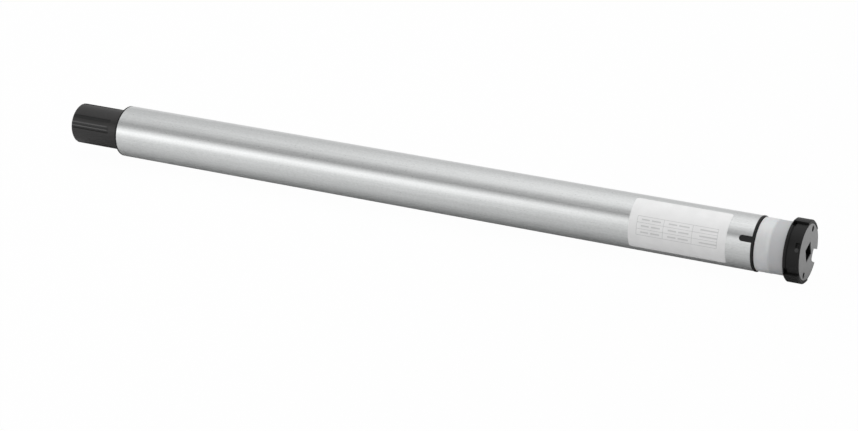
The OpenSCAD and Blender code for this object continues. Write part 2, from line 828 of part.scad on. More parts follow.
module board_wires() color("firebrick") {
    from_s = header_s + header_l + 0.1;
    wire_run(from_s, lead_plug_s - 0.1 - from_s);
}

module lead_plug() color("white") along(lead_plug_s) {
    intersection() {
        cylinder(h = lead_plug_len, r = core_r);
        translate([wire_orbit - lead_plug_h, -lead_plug_w / 2, 0])
            cube([far, lead_plug_w, lead_plug_len]);
    }
}

module motor_wires() color("royalblue") {
    from_s = lead_plug_s + lead_plug_len + 0.1;
    wire_run(from_s, rear_bell_s + 1 - from_s);
}

// End bell seen from its open side: cup, bearing seat and face; front bells are mirrored
module end_bell() {
    difference() {
        union() {
            tube(bell_len, core_r, core_r - bell_wall);
            cylinder(h = bell_face_t, r = core_r);
            cylinder(h = bell_face_t + bearing_w, r = seat_r);
        }
        drilled(bell_face_t, shaft_r + 0.5);
        translate([0, 0, bell_face_t]) cylinder(h = bearing_w + 1, r = bearing_r_out + snug);
    }
}

module rear_end_bell() color("lightgray") along(rear_bell_s) {
    difference() {
        end_bell();
        translate([wire_orbit - 1.6, -wire_slot_w / 2, -1]) cube([far, wire_slot_w, bell_face_t + 2]);
    }
}

module front_end_bell() color("lightgray") along(front_bell_s + bell_len) mirror([0, 0, 1]) {
    end_bell();
}

// The stator's slots, or with a shrink the windings that lie in them
module slot_shape(shrink) {
    slot_r = stator_r - yoke_back;
    for (k = [0:slots - 1]) rotate([0, 0, 360 * (k + 0.5) / slots])
        polygon([[bore_r + tooth_tip_t + shrink, -slot_mouth + shrink],
                 [slot_r - shrink, -slot_w + shrink], [slot_r - shrink, slot_w - shrink],
                 [bore_r + tooth_tip_t + shrink, slot_mouth - shrink]]);
}

module stator_core() color("slategray") along(stator_s) {
    linear_extrude(stator_run) difference() {
        circle(r = stator_r);
        circle(r = bore_r);
        slot_shape(0);
    }
}

module stator_windings() color("chocolate") along(stator_s) {
    linear_extrude(stator_run) slot_shape(slit);
    for (s = [-winding_len, stator_run]) translate([0, 0, s]) rotate_extrude()
        polygon([[winding_in + 1, 0], [winding_out - 1, 0], [winding_out, 1],
                 [winding_out, winding_len - 1], [winding_out - 1, winding_len],
                 [winding_in + 1, winding_len], [winding_in, winding_len - 1], [winding_in, 1]]);
}

module rotor_bearings() color("silver") {
    rear_s = rear_bell_s + bell_face_t + 0.05;
    front_s = front_bell_s + bell_len - bell_face_t - 0.05 - bearing_w;
    for (s = [rear_s, front_s]) along(s) tube(bearing_w, bearing_r_out, shaft_r + running);
}

module rotor_core() color("gray") along(stator_s) {
    difference() {
        cylinder(h = stator_run, r = rotor_r);
        drilled(stator_run, shaft_r + snug);
        for (k = [0:cage_bars - 1]) rotate([0, 0, 360 * k / cage_bars]) translate([cage_orbit, 0, 0])
            drilled(stator_run, cage_bar_r + snug);
    }
}

module rotor_cage() color("gainsboro") along(stator_s) {
    for (k = [0:cage_bars - 1]) rotate([0, 0, 360 * k / cage_bars]) translate([cage_orbit, 0, -0.5])
        cylinder(h = stator_run + 1, r = cage_bar_r);
    for (s = [-cage_ring_w - 0.05, stator_run + 0.05]) translate([0, 0, s])
        tube(cage_ring_w, rotor_r, cage_orbit - cage_bar_r - 0.3);
}

module rotor_shaft() color("silver") along(0) {
    front_s = rear_bell_s + 0.5;
    sun_s = gear_s + 0.1;
    translate([0, 0, front_s]) cylinder(h = sun_s - front_s, r = shaft_r);
    translate([0, 0, sun_s]) linear_extrude(web_1_s - end_play - sun_s)
        gear_outline(input_sun_teeth, input_module);
}

module brake_yoke() color("darkslategray") along(brake_s) {
    len = yoke_end - brake_s;
    difference() {
        cylinder(h = len, r = yoke_r);
        drilled(len, shaft_r + 0.5);
        translate([0, 0, len - spring_depth]) cylinder(h = spring_depth + 1, r = spring_pocket_r);
        translate([0, 0, len - coil_depth]) tube(coil_depth + 1, coil_r, pole_r);
    }
}

module brake_coil() color("peru") along(yoke_end - coil_depth + 0.1) {
    tube(coil_depth - 0.3, coil_r - slit, pole_r + slit);
}

// One unbroken wire wound as a helix, its rings of points joined by triangles
module brake_spring() color("lightsteelblue") along(yoke_end - spring_depth + 0.05) {
    free_len = armature_s - yoke_end + spring_depth - 0.1 - spring_wire;
    steps = spring_steps * spring_coils;
    sides = spring_sides;
    rings = [for (k = [0:steps]) let (turn = 360 * k / spring_steps, rise = free_len * k / steps)
             [for (j = [0:sides - 1])
              let (r = spring_r + spring_wire / 2 * cos(360 * j / sides))
              [r * cos(turn), r * sin(turn),
               spring_wire / 2 + rise + spring_wire / 2 * sin(360 * j / sides)]]];
    points = [for (ring = rings) for (p = ring) p];
    sides_faces = [for (k = [0:steps - 1]) for (j = [0:sides - 1])
        let (a = k * sides + j, b = k * sides + (j + 1) % sides)
        for (f = [[a, b, b + sides], [a, b + sides, a + sides]]) f];
    start_cap = [for (j = [1:sides - 2]) [0, j + 1, j]];
    last = steps * sides;
    end_cap_faces = [for (j = [1:sides - 2]) [last, last + j, last + j + 1]];
    polyhedron(points = points, faces = concat(sides_faces, start_cap, end_cap_faces));
}

module brake_keys(grow) {
    for (a = [0, 120, 240]) rotate([0, 0, a])
        translate([brake_bore_r - brake_key_in - grow, -brake_key_w / 2 - grow, 0]) children();
}

module brake_plate() color("lightslategray") along(armature_s) {
    difference() {
        cylinder(h = armature_t, r = brake_bore_r - key_gap);
        drilled(armature_t, shaft_r + 0.8);
        brake_keys(key_gap) translate([0, 0, -1])
            cube([far, brake_key_w + 2 * key_gap, armature_t + 2]);
    }
}

module brake_disc() color("tan") along(disc_s) {
    difference() {
        cylinder(h = disc_t, r = brake_bore_r - 1.8);
        drilled(disc_t, shaft_r + snug);
    }
}

module brake_housing() color("gray") along(brake_s) {
    key_from = yoke_end - brake_s + 0.2;
    difference() {
        cylinder(h = brake_len, r = core_r);
        translate([0, 0, -1]) cylinder(h = brake_len + 1 - brake_face_t, r = brake_bore_r);
        drilled(brake_face_t, shaft_bush_r, brake_len - brake_face_t);
    }
    brake_keys(0) translate([0, 0, key_from])
        cube([brake_key_in + 0.2, brake_key_w, disc_s - 0.2 - brake_s - key_from]);
}

module shaft_bush() color("goldenrod") along(gear_s - brake_face_t) {
    tube(brake_face_t, shaft_bush_r - snug, shaft_r + running);
}

module input_ring_gear() color("whitesmoke") along(gear_s) {
    difference() {
        cylinder(h = ring_split - gear_s, r = core_r);
        translate([0, 0, -1])
            ring_gear_cut(input_ring_teeth, input_module, ring_split - gear_s + 2);
    }
}

module main_ring_gear() color("whitesmoke") along(ring_split) {
    difference() {
        cylinder(h = cap_s - ring_split, r = core_r);
        translate([0, 0, -1]) ring_gear_cut(main_ring_teeth, main_module, cap_s - ring_split + 2);
    }
}

// A carrier's web at s with three pins that reach back through planets of the given width
module carrier_web(s, thick, r, orbit, planet_w) {
    along(s) cylinder(h = thick, r = r);
    for (a = [0, 120, 240]) along(s - end_play - planet_w) rotate([0, 0, a])
        translate([orbit, 0, 0]) cylinder(h = planet_w + end_play + 0.5, r = planet_pin_r);
}

// The sun of the next stage, with a gap between teeth on each planet's line
module sun_gear(s, len) {
    along(s) rotate([0, 0, 180 / main_sun_teeth]) linear_extrude(len)
        gear_outline(main_sun_teeth, main_module);
}

module carrier_1() color("lightgray") {
    carrier_web(web_1_s, web_1_t, input_web_r, input_orbit, planet_1_w);
    sun_gear(web_1_s + web_1_t - 0.1, web_2_s - end_play - web_1_s - web_1_t + 0.1);
}

module carrier_2() color("lightgray") {
    carrier_web(web_2_s, web_2_t, web_r, main_orbit, planet_2_w);
    sun_gear(web_2_s + web_2_t - 0.1, web_3_s - end_play - web_2_s - web_2_t + 0.1);
}

// The last carrier is one piece with the output shaft
module carrier_3() color("lightgray") {
    carrier_web(web_3_s, web_3_t, web_r, main_orbit, planet_3_w);
    difference() {
        union() {
            along(web_3_s + web_3_t - 0.5)
                cylinder(h = spigot_s + 0.5 - web_3_s - web_3_t, r = journal_r);
            along(spigot_s - 0.5) intersection() {
                cylinder(h = shaft_end_len + 0.5, d = shaft_end_d);
                translate([-far, -shaft_flats / 2, 0]) cube([2 * far, shaft_flats, shaft_end_len + 0.5]);
            }
        }
        along(clip_s - 0.1) tube(clip_t + 0.2, journal_r + 1, clip_groove_r);
        along(spigot_s + spigot_bore - spigot_screw_in + spigot_web_t - 0.2)
            cylinder(h = spigot_screw_in, r = spigot_screw_r + snug, $fn = 32);
    }
}

// Planets 1a to 3c, each a gear with a bore that runs on its carrier's pin
module planet(s, width, teeth, module_mm, orbit, place) {
    along(s) rotate([0, 0, 120 * place]) translate([orbit, 0, 0]) difference() {
        linear_extrude(width) gear_outline(teeth, module_mm);
        drilled(width, planet_pin_r + running);
    }
}

module planet_1(place) color("tan")
    planet(planet_1_s, planet_1_w, input_planet_teeth, input_module, input_orbit, place);

module planet_2(place) color("silver")
    planet(planet_2_s, planet_2_w, main_planet_teeth, main_module, main_orbit, place);

module planet_3(place) color("silver")
    planet(planet_3_s, planet_3_w, main_planet_teeth, main_module, main_orbit, place);

module end_cap() color([0.12, 0.12, 0.13]) {
    difference() {
        union() {
            along(cap_s) cylinder(h = end_cap_len, r = core_r);
            along(end_s) edged_disc(end_flange_t, end_flange_d / 2, 0.3);
        }
        along(cap_s) drilled(end_cap_len + end_flange_t, bush_r + snug);
        for (a = tube_screw_angles) radial(tube_screw_places[1], head_turn + a, screw_floor_r)
            cylinder(h = far, r = tube_screw_r + snug, $fn = 32);
    }
}

module output_bush() color("goldenrod") along(cap_s) {
    tube(bush_len, bush_r, journal_r + running);
}

module output_seal() color([0.08, 0.08, 0.08]) along(seal_s) {
    tube(end_s + end_flange_t - 0.1 - seal_s, bush_r, journal_r + running);
}

module shaft_clip() color("silver") along(clip_s) {
    difference() {
        tube(clip_t, clip_r, clip_groove_r + snug);
        translate([-far, -clip_mouth / 2, -1]) cube([far, clip_mouth, clip_t + 2]);
    }
}

// A groove along the spigot, open at its outer end and rounded at its inner end
module spigot_groove(angle, width, depth) {
    rotate([0, 0, angle]) translate([spigot_r - depth, 0, spigot_plain]) {
        translate([0, -width / 2, 0]) cube([far, width, groove_len + 1]);
        rotate([0, 90, 0]) cylinder(h = far, d = width, $fn = 24);
    }
}

module drive_spigot() color([0.15, 0.14, 0.14]) along(spigot_s) {
    difference() {
        rotate([0, 0, spigot_seam]) edged_disc(spigot_len, spigot_r, spigot_edge);
        for (k = [0:groove_sets - 1]) rotate([0, 0, 360 * k / groove_sets]) {
            spigot_groove(pair_angle - pair_half, groove_w, groove_depth);
            spigot_groove(pair_angle + pair_half, groove_w, groove_depth);
            spigot_groove(single_angle, single_w, single_depth);
        }
        intersection() {
            translate([0, 0, -1]) cylinder(h = spigot_bore + 1, d = shaft_end_d + 2 * running);
            translate([-far, -shaft_flats / 2 - running, -1])
                cube([2 * far, shaft_flats + 2 * running, spigot_bore + 1]);
        }
        drilled(spigot_web_t, spigot_screw_r + slit, spigot_bore);
        translate([0, 0, spigot_bore + spigot_web_t]) cylinder(h = far, r = screw_recess_r);
        difference() {
            translate([0, 0, coring_s]) tube(far, coring_r, spigot_hub_r);
            for (a = [0, 45, 90, 135]) rotate([0, 0, a]) translate([-far, -coring_rib_t / 2, 0])
                cube([2 * far, coring_rib_t, 2 * far]);
        }
    }
}

// Pan head screw and washer that hold the spigot on the output shaft
module spigot_screw() color("silver") along(spigot_s + spigot_bore + spigot_web_t) {
    tube(washer_t, washer_r, spigot_screw_r + snug);
    translate([0, 0, washer_t + snug]) difference() {
        edged_disc(pan_head_h, pan_head_r, 0.5);
        for (a = [0, 90]) rotate([0, 0, a]) translate([-cross_half, -cross_w / 2, cross_floor])
            cube([2 * cross_half, cross_w, pan_head_h]);
    }
    translate([0, 0, -spigot_screw_in])
        cylinder(h = spigot_screw_in + washer_t + 1, r = spigot_screw_r, $fn = 32);
}

module motor_tube() color([0.74, 0.75, 0.77]) {
    difference() {
        along(tube_s) tube(tube_len, tube_d / 2, tube_id / 2);
        head_at(tube_s) key_bar(key_w + 2 * slit, -1, key_len + slit);
        for (s = tube_screw_places, a = tube_screw_angles) tube_screw_hole(s, head_turn + a);
    }
}

motor_tube();
face_plate();
head_flange();
head_core();
head_screws();
tube_screws();
inlet_socket();
inlet_pins();
crown_ring();
encoder_pinion();
encoder_magnet();
sensor_board();
board_carrier();
control_board();
relays();
lead_header();
board_capacitors();
board_chips();
inlet_wires();
capacitor_cradle();
run_capacitor();
board_wires();
lead_plug();
motor_wires();
rear_end_bell();
front_end_bell();
stator_core();
stator_windings();
rotor_bearings();
rotor_core();
rotor_cage();
rotor_shaft();
brake_yoke();
brake_coil();
brake_spring();
brake_plate();
brake_disc();
brake_housing();
shaft_bush();
input_ring_gear();
main_ring_gear();
carrier_1();
carrier_2();
carrier_3();
planet_1(0);  // planet_1a
planet_1(1);  // planet_1b
planet_1(2);  // planet_1c
planet_2(0);  // planet_2a
planet_2(1);  // planet_2b
planet_2(2);  // planet_2c
planet_3(0);  // planet_3a
planet_3(1);  // planet_3b
planet_3(2);  // planet_3c
end_cap();
output_bush();
output_seal();
shaft_clip();
drive_spigot();
spigot_screw();
edge_connector();
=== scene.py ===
import json
import math

import bmesh
import bpy
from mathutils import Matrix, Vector


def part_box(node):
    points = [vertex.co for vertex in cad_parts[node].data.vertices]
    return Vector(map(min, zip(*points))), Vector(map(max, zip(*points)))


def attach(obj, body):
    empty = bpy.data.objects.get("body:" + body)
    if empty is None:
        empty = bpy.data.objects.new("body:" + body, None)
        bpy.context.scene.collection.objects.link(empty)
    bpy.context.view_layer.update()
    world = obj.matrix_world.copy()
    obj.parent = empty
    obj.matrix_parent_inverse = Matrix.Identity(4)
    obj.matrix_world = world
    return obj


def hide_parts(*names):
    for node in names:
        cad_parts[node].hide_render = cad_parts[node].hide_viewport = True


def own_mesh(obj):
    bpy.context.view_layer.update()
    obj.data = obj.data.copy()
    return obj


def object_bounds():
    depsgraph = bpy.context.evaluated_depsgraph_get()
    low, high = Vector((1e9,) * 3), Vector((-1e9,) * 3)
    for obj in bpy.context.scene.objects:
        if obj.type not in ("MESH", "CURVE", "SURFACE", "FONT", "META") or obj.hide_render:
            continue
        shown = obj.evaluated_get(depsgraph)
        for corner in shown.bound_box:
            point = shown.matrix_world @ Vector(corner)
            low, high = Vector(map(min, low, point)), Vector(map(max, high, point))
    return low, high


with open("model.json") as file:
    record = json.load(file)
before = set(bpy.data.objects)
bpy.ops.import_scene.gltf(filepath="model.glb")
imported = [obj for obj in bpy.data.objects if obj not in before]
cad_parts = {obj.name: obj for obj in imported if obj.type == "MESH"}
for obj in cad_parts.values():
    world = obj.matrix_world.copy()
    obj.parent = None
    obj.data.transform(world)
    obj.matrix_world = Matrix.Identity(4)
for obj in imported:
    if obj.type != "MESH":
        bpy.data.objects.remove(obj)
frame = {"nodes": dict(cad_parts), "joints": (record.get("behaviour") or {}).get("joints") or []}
cad_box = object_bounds()
parts = frame["nodes"]


def grey(level):
    """A neutral colour, from 0, black, to 1, white."""
    return (level, level, level)


def scaled(colour, factor):
    """The colour made darker, or lighter where the factor is above 1."""
    return tuple(channel * factor for channel in colour)


# Places and sizes, in metres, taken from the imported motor
MM = 0.001
TUBE_LOW, TUBE_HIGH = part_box("motor_tube")
TUBE_RADIUS = TUBE_HIGH.y
MOTOR_LOW, MOTOR_HIGH = cad_box
MIDDLE = (MOTOR_LOW + MOTOR_HIGH) / 2
PLATE_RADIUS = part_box("face_plate")[1].z
CROWN_LOW, CROWN_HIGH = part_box("crown_ring")
CROWN_MIDDLE = (CROWN_LOW.x + CROWN_HIGH.x) / 2
SPIGOT_LOW, SPIGOT_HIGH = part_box("drive_spigot")
SPIGOT_RADIUS = SPIGOT_HIGH.y

# Turn of the head about the motor's axis, from +Z towards +Y
HEAD_TURN = math.radians(27.5)

# Rating label: its place along the tube, and its edges as angles from +Z towards +Y
LABEL_FRONT = TUBE_HIGH.x - 16.1 * MM
LABEL_LENGTH = 64 * MM
LABEL_TOP = math.radians(-10)
LABEL_WRAP = math.radians(119)
LABEL_GAP = 0.01 * MM
LABEL_THICKNESS = 0.12 * MM
LABEL_CORNER = 1.6 * MM
LABEL_CUTS = 48

# Printed table, in millimetres: along runs back from the label's front edge, down from its top.
# A bar is the place of its middle and half its length, and every row has the same bars.
TABLE_COLUMNS = (5.5, 22, 41, 58.5)
TABLE_ROWS = (13.5, 17.5, 21.5, 25.5)
LINE_HALF = 0.12
BARS = ((9, 3.4), (14.5, 2.6), (27.5, 3.4), (35, 2.8), (46, 3.0), (53, 2.6))
BAR_HALF = 0.45
BAR_INK = 0.7

# Face plate: the width of its black edge, and the places along the axis between which its socket
# turns from grey to black, as painted shade deeper in
BLACK_EDGE = 0.3 * MM
SOCKET_GREY_TO = -0.3 * MM
SOCKET_BLACK_FROM = -0.7 * MM

# Stud on the flange's side: its angle from +Z towards +Y, its place along the axis, its radius,
# and how far from the axis it starts
STUD_ANGLE = math.radians(-68)
STUD_PLACE = -2.05 * MM
STUD_RADIUS = 1.35 * MM
STUD_FOOT = 18.65 * MM

# Spigot: how often its grooves repeat round it, where they end, and how deep the painted shade in
# them lies
GROOVE_SETS = 4
GROOVES_END = SPIGOT_HIGH.x - 8 * MM
GROOVE_DEPTH = 0.65 * MM
GROOVE_HALF = 0.5 * MM

# Lands of the spigot painted pale as a painted highlight: the angles of their middles from +Z
# towards +Y and half their width, in degrees, their depth, and the length over which they fade
HIGHLIGHT_LANDS = (-77, -67.5)
LAND_HALF = 2.2
LAND_DEPTH = 0.12 * MM
LAND_FADE = 2 * MM

# Crown ring: half the length over which its tone changes to the painted shade of its front half
RING_BLEND = 1.1 * MM

# Wire jackets: where each colour starts across the row, from 0 to 1
BROWN, BLUE, BLACK = (0.15, 0.055, 0.02), (0.02, 0.05, 0.32), (0.02, 0.02, 0.02)
YELLOW_GREEN = (0.25, 0.27, 0.03)
PHASE_JACKETS = ((0.0, BROWN), (0.34, BLUE), (0.66, BLACK))
SUPPLY_JACKETS = ((0.0, BROWN), (0.27, BLACK), (0.5, BLUE), (0.73, YELLOW_GREEN))

# Stacked sheets of the stator, and the grid of pads on the boards
SHEET_PITCH = 0.5 * MM
PAD_PITCH = 2.54 * MM

# Camera, fitted to the photograph's tube edges and end arcs
PICTURE_WIDTH = 858
FOCAL_PIXELS = 2400
SENSOR = 36.0
CAMERA_AZIMUTH = math.radians(26.8)
CAMERA_ELEVATION = math.radians(21.4)
CAMERA_DISTANCE = 1.578
CAMERA_TARGET = Vector((-0.2588, 0, -0.0218))

# Studio light: how bright the surroundings are at each angle, in degrees from the floor in front
# of the motor, over the top, to the floor behind it. The three levels are what the far end of the
# motor, its middle and its head mirror.
LIGHT_BANDS = ((0, 1.3, 0.8, 0.1), (11, 1.8, 1.84, 0.6), (24, 1.42, 1.45, 0.97),
               (37, 0.66, 0.36, 0.4), (51, 0.26, 0.07, 0.1), (63, 0.57, 0.9, 0.96),
               (80, 0.77, 1.25, 1.16), (105, 0.74, 1.22, 1.15), (125, 0.68, 1.1, 1.02),
               (150, 0.61, 0.64, 0.58), (165, 0.72, 0.62, 0.58), (180, 0.9, 0.9, 0.9))
BAND_STRENGTH = 1.9

# Part of a direction along the motor's axis at which the far, middle and head levels hold
FAR_SIDE, MIDDLE_SIDE, HEAD_SIDE = -0.5, -0.35, -0.23

# Power of the two soft boxes
OVERHEAD_WATTS, FRONT_WATTS = 3.5, 1

# Studio floor, in metres. Its tone and its white in mirrors change from the far end to the head,
# darker at the head, and its white in mirrors fades out near the motor: painted shade for the metal
# to mirror.
FLOOR_HALF = 6
FLOOR_GAP = 0.2 * MM
FLOOR_CHANGES_FROM = TUBE_LOW.x + 70 * MM
FLOOR_FAR, FLOOR_AT_HEAD = grey(0.78), grey(0.63)
WHITE_TO_CAMERA = 0.98
WHITE_IN_METAL, WHITE_AT_HEAD = 0.72, 0.5
SHADE_REACH = 0.13


class Value:
    """A socket's number or colour. Sums, differences and products of numbers add Math nodes."""

    def __init__(self, sheet, socket):
        self.sheet, self.socket = sheet, socket

    def maths(self, operation, *others):
        settings = {"operation": operation}
        return self.sheet.node("ShaderNodeMath", settings, dict(enumerate((self, *others))))

    def __add__(self, other):
        return self.maths("ADD", other)

    def __sub__(self, other):
        return self.maths("SUBTRACT", other)

    def __rsub__(self, other):
        return self.sheet.node("ShaderNodeMath", {"operation": "SUBTRACT"}, {0: other, 1: self})

    def __mul__(self, other):
        return self.maths("MULTIPLY", other)

    def __truediv__(self, other):
        return self.maths("DIVIDE", other)

    __radd__ = __add__
    __rmul__ = __mul__

    def either(self, other):
        """The higher of two masks."""
        return self.maths("MAXIMUM", other)

    def near(self, centre, reach):
        """1 where the value lies within reach of centre, else 0."""
        return self.maths("COMPARE", centre, reach)


class Sheet:
    """A node tree with the patterns that the finishes share. Lengths are in metres."""

    def __init__(self, tree):
        self.tree = tree

    def node(self, kind, settings=None, values=None, out=0):
        """A node with its settings, what feeds its sockets, and the output that is used."""
        made = self.tree.nodes.new(kind)
        for name, value in (settings or {}).items():
            if name == "stops":
                self.set_stops(made.color_ramp, value)
            elif name == "blend":
                made.color_ramp.interpolation = value
            else:
                setattr(made, name, value)
        for name, value in (values or {}).items():
            self.feed(made.inputs[name], value)
        return Value(self, made.outputs[out])

    def feed(self, socket, value):
        if isinstance(value, Value):
            self.tree.links.new(value.socket, socket)
        elif isinstance(value, tuple) and socket.type == "RGBA":
            socket.default_value = (*value, 1.0)
        else:
            socket.default_value = value

    def set_stops(self, ramp, stops):
        while len(ramp.elements) < len(stops):
            ramp.elements.new(0.5)
        for element, (position, colour) in zip(ramp.elements, stops):
            element.position, element.color = position, (*colour, 1.0)

    def place(self, stretch=(1, 1, 1)):
        """The point on the object, squeezed along its axes so that a pattern is stretched there."""
        point = self.node("ShaderNodeTexCoord", out="Object")
        if stretch == (1, 1, 1):
            return point
        return self.node("ShaderNodeMapping", None, {"Vector": point, "Scale": stretch})

    def axes(self):
        """The point's x along the motor, y and z."""
        point = self.place()
        return [self.node("ShaderNodeSeparateXYZ", None, {0: point}, out) for out in "XYZ"]

    def turn_angle(self):
        """Angle round the motor's axis in radians, from +Z towards +Y."""
        _, y, z = self.axes()
        return y.maths("ARCTAN2", z)

    def radius(self):
        """Distance from the motor's axis."""
        _, y, z = self.axes()
        return (y * y + z * z).maths("SQRT")

    def noise(self, size, detail=3, stretch=(1, 1, 1)):
        """Clouds whose lumps are about size across, from 0 to 1."""
        return self.node("ShaderNodeTexNoise", None,
                         {"Vector": self.place(stretch), "Scale": 1 / size, "Detail": detail})

    def cells(self, size, stretch=(1, 1, 1), feature="F1"):
        """Grains about size across: how far a point is from a grain's middle, or its edge."""
        return self.node("ShaderNodeTexVoronoi", {"feature": feature},
                         {"Vector": self.place(stretch), "Scale": 1 / size}, "Distance")

    def ramp(self, value, low, high):
        """0 below low, 1 above high, smooth between them."""
        return self.node("ShaderNodeMapRange", {"interpolation_type": "SMOOTHSTEP"},
                         {"Value": value, "From Min": low, "From Max": high})

    def mix(self, share, first, second):
        """First colour where share is 0, second where it is 1."""
        return self.node("ShaderNodeMix", {"data_type": "RGBA"}, {0: share, 6: first, 7: second}, 2)

    def relief(self, height, depth, strength):
        """A bumpy surface, which stands depth proud where height is 1."""
        return self.node("ShaderNodeBump", None,
                         {"Height": height, "Distance": depth, "Strength": strength})


class Finish(Sheet):
    """A material: a Principled shader, its constants and what feeds it."""

    def __init__(self, name, **constants):
        self.material = bpy.data.materials.new(name)
        self.material.use_nodes = True
        super().__init__(self.material.node_tree)
        self.shader = self.tree.nodes["Principled BSDF"]
        for socket, value in constants.items():
            self.feed(self.shader.inputs[socket.replace("_", " ")], value)

    def shade(self, **fed):
        """Feeds the shader's sockets and gives back the finished material."""
        for socket, value in fed.items():
            self.feed(self.shader.inputs[socket.replace("_", " ")], value)
        return self.material


def any_of(masks):
    """The highest of several masks."""
    highest, *others = masks
    for mask in others:
        highest = highest.either(mask)
    return highest


# Finishes that show

def drawn_tube():
    """Bright steel tube, drawn along its length, with fine lines and a faint cloudiness."""
    f = Finish("drawn_steel", Metallic=1.0)
    lines = f.noise(0.35 * MM, 4, (0.006, 1, 1))
    long_lines = f.noise(1.6 * MM, 2, (0.003, 1, 1))
    clouds = f.noise(22 * MM, 3)
    speckle = f.noise(0.9 * MM, 3, (0.5, 1, 1))
    tone = lines * 0.25 + long_lines * 0.2 + clouds * 0.1 + speckle * 0.45
    return f.shade(
        Base_Color=f.mix(f.ramp(tone, 0.34, 0.66), (0.633, 0.643, 0.642), (0.736, 0.747, 0.746)),
        Roughness=0.22 + lines * 0.06 + speckle * 0.1,
        Normal=f.relief(lines + speckle * 0.3, 0.002 * MM, 0.5))


def cast_plate():
    """Die-cast zinc, tumbled to an even matt grey, with a black edge. Its socket is painted black
    as painted shade.
    """
    f = Finish("cast_zinc", Metallic=0.75)
    grain = f.noise(0.18 * MM, 3)
    flow = f.noise(4 * MM, 3)
    x, _, _ = f.axes()
    edge = f.ramp(f.radius(), PLATE_RADIUS - BLACK_EDGE, PLATE_RADIUS - BLACK_EDGE / 2)
    # Painted shade: deeper than its front face, in the socket and holes, the plate is painted black
    black_edge_and_socket_shade = edge.either(f.ramp(x, SOCKET_GREY_TO, SOCKET_BLACK_FROM))
    zinc = f.mix(f.ramp(flow * 0.35 + grain * 0.65, 0.3, 0.7), grey(0.3), grey(0.37))
    return f.shade(
        Base_Color=f.mix(black_edge_and_socket_shade, zinc, grey(0.015)),
        Roughness=0.42 + grain * 0.16,
        Normal=f.relief(grain, 0.03 * MM, 0.6))


def moulded_skin(f, colour, roughness):
    """What feeds the shader of a glass-filled plastic with a fine spark-eroded grain."""
    grain = f.cells(0.22 * MM)
    flow = f.noise(7 * MM, 3, (0.35, 1, 1))
    dust = f.noise(0.6 * MM, 4)
    return {
        "Base_Color": f.mix(f.ramp(flow * 0.7 + dust * 0.3, 0.35, 0.7), scaled(colour, 0.8),
                            scaled(colour, 1.35)),
        "Roughness": roughness + flow * 0.14 + grain * 0.06,
        "Normal": f.relief(grain + dust * 0.5, 0.02 * MM, 0.5)}


def black_moulding(name, colour, roughness, gloss):
    """Dark glass-filled plastic with dull rubbed patches."""
    f = Finish(name, Specular_IOR_Level=gloss)
    return f.shade(**moulded_skin(f, colour, roughness))


def flange_moulding():
    """The head flange's moulding, with its small stud a mottled lighter grey."""
    f = Finish("flange_polyamide", Specular_IOR_Level=0.31)
    skin = moulded_skin(f, grey(0.004), 0.38)
    x, _, _ = f.axes()
    radius = f.radius()
    round_it = (f.turn_angle() - STUD_ANGLE) * radius
    along = x - STUD_PLACE
    reach = (round_it * round_it + along * along).maths("SQRT")
    stud = f.ramp(reach, STUD_RADIUS * 1.02, STUD_RADIUS * 0.9)
    stud = stud * f.ramp(radius, STUD_FOOT, STUD_FOOT + 0.1 * MM)
    mottle = f.noise(0.5 * MM, 3)
    # The stud is painted a mottled lighter grey
    skin["Base_Color"] = f.mix(stud * (0.5 + mottle * 0.5), skin["Base_Color"], grey(0.05))
    return f.shade(**skin)


def spigot_moulding():
    """The spigot's moulding: its grooves painted near black as painted shade, the lands beside each
    pair painted pale as a painted highlight.
    """
    f = Finish("spigot_polyamide", Specular_IOR_Level=0.5)
    skin = moulded_skin(f, (0.015, 0.0138, 0.0138), 0.32)
    x, _, _ = f.axes()
    radius = f.radius()
    turns = f.turn_angle() * (GROOVE_SETS / math.tau)
    lands = []
    for angle in HIGHLIGHT_LANDS:
        place = (angle * GROOVE_SETS / 360) % 1
        turned = (turns - place + 0.5).maths("WRAP", 1, 0)
        lands.append(turned.near(0.5, LAND_HALF * GROOVE_SETS / 360))
    # Painted highlight: the lands beside each pair of grooves are painted pale, fading out where
    # the grooves end
    land_highlight = any_of(lands) * f.ramp(x, GROOVES_END, GROOVES_END - LAND_FADE)
    land_highlight = land_highlight * radius.near(SPIGOT_RADIUS, LAND_DEPTH)
    mottle = f.noise(0.8 * MM, 3, (0.08, 1, 1))
    # Painted shade: the grooves, below the spigot's outer radius, are painted near black
    groove_shade = radius.near(SPIGOT_RADIUS - GROOVE_DEPTH, GROOVE_HALF)
    groove_shade = groove_shade * f.ramp(x, SPIGOT_LOW.x + 0.9 * MM, SPIGOT_LOW.x + 1.1 * MM)
    skin_with_highlight = f.mix(land_highlight * (0.3 + mottle * 0.5), skin["Base_Color"], grey(0.12))
    skin["Base_Color"] = f.mix(groove_shade * 0.9, skin_with_highlight, grey(0.003))
    return f.shade(**skin)


def pale_ring():
    """Pale acetal whose front half is painted a little darker, as painted shade."""
    f = Finish("pale_acetal", Subsurface_Weight=0.08, Subsurface_Scale=0.8 * MM)
    x, _, _ = f.axes()
    # Painted shade: the front half darker than the back
    front = f.ramp(x, CROWN_MIDDLE - RING_BLEND, CROWN_MIDDLE + RING_BLEND)
    flow = f.noise(6 * MM, 3, (1, 0.5, 0.5))
    grain = f.noise(0.3 * MM, 3)
    tone = f.mix(front, (0.73, 0.735, 0.74), (0.53, 0.535, 0.545))
    return f.shade(
        Base_Color=f.mix(f.ramp(flow, 0.3, 0.75) * 0.35, tone, (0.5, 0.505, 0.515)),
        Roughness=0.4 + grain * 0.12,
        Normal=f.relief(grain, 0.015 * MM, 0.4))


